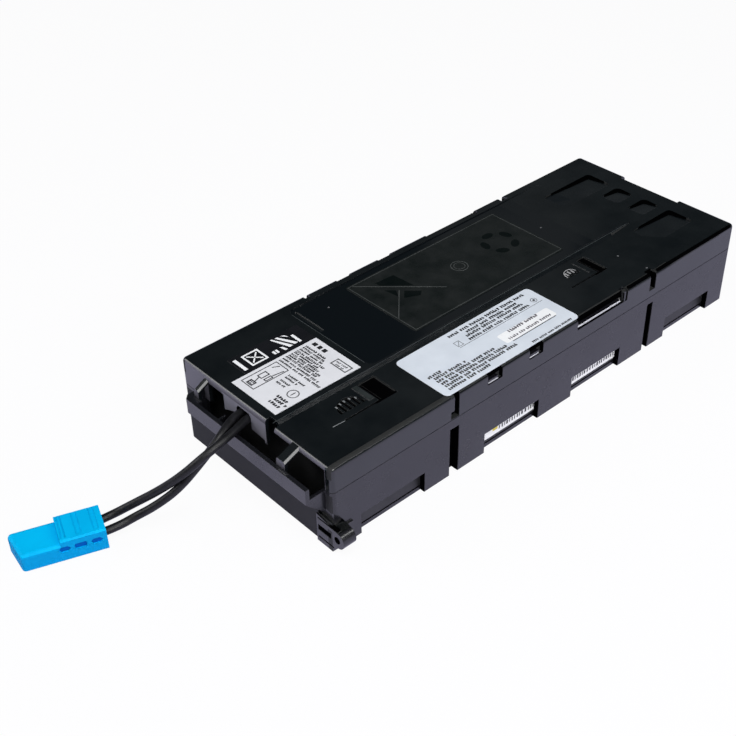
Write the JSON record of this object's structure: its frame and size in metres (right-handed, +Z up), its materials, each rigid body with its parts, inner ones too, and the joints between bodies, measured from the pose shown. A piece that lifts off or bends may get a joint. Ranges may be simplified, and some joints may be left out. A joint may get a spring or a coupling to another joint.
{
  "type": "ups battery cartridge",
  "caption": "Flat sealed battery cartridge for a rack power supply: black tray and cover around blocks laid on their sides, with finger latches and two leads to a blue plug.",
  "frame": {"origin": "middle of the tray's underside, between its four main walls", "axes": "+X along the pack, away from the leads; +Y across it, towards the wall without the corner lug; +Z up, out of the cover"},
  "size_m": [0.5833, 0.171, 0.0721],
  "materials": {
    "case_plastic": "black, lightly grained, semi-gloss",
    "battery_plastic": "satin black",
    "terminal_metal": "tin plated",
    "socket_plastic": "translucent nylon",
    "strap_metal": "dull",
    "lead_jacket": "satin black",
    "blue_plastic": "satin",
    "white_label": "printed film",
    "silver_label": "printed silver film",
    "dark_label": "printed film",
    "dark_film": "clear film over black"
  },
  "bodies": {
    "root": {"lower_tray": "case_plastic", "top_cover": "case_plastic", "battery_1": "battery_plastic", "battery_1_label": "white_label", "battery_1_tab_positive": "terminal_metal", "battery_1_socket_positive": "socket_plastic", "battery_1_tab_negative": "terminal_metal", "battery_1_socket_negative": "socket_plastic", "battery_2": "battery_plastic", "battery_2_label": "white_label", "battery_2_tab_positive": "terminal_metal", "battery_2_socket_positive": "socket_plastic", "battery_2_tab_negative": "terminal_metal", "battery_2_socket_negative": "socket_plastic", "battery_3": "battery_plastic", "battery_3_label": "white_label", "battery_3_tab_positive": "terminal_metal", "battery_3_socket_positive": "socket_plastic", "battery_3_tab_negative": "terminal_metal", "battery_3_socket_negative": "socket_plastic", "battery_4": "battery_plastic", "battery_4_label": "white_label", "battery_4_tab_positive": "terminal_metal", "battery_4_socket_positive": "socket_plastic", "battery_4_tab_negative": "terminal_metal", "battery_4_socket_negative": "socket_plastic", "jumper_1_2": "strap_metal", "jumper_2_3": "strap_metal", "jumper_3_4": "strap_metal", "strap_positive": "strap_metal", "strap_negative": "strap_metal", "lead_positive": "lead_jacket", "lead_negative": "lead_jacket", "connector_housing": "blue_plastic", "connector_contact_positive": "terminal_metal", "connector_contact_negative": "terminal_metal", "wiring_label": "white_label", "disposal_label": "dark_label", "info_label": "silver_label", "panel_sticker": "dark_film"}
  },
  "joints": []
}
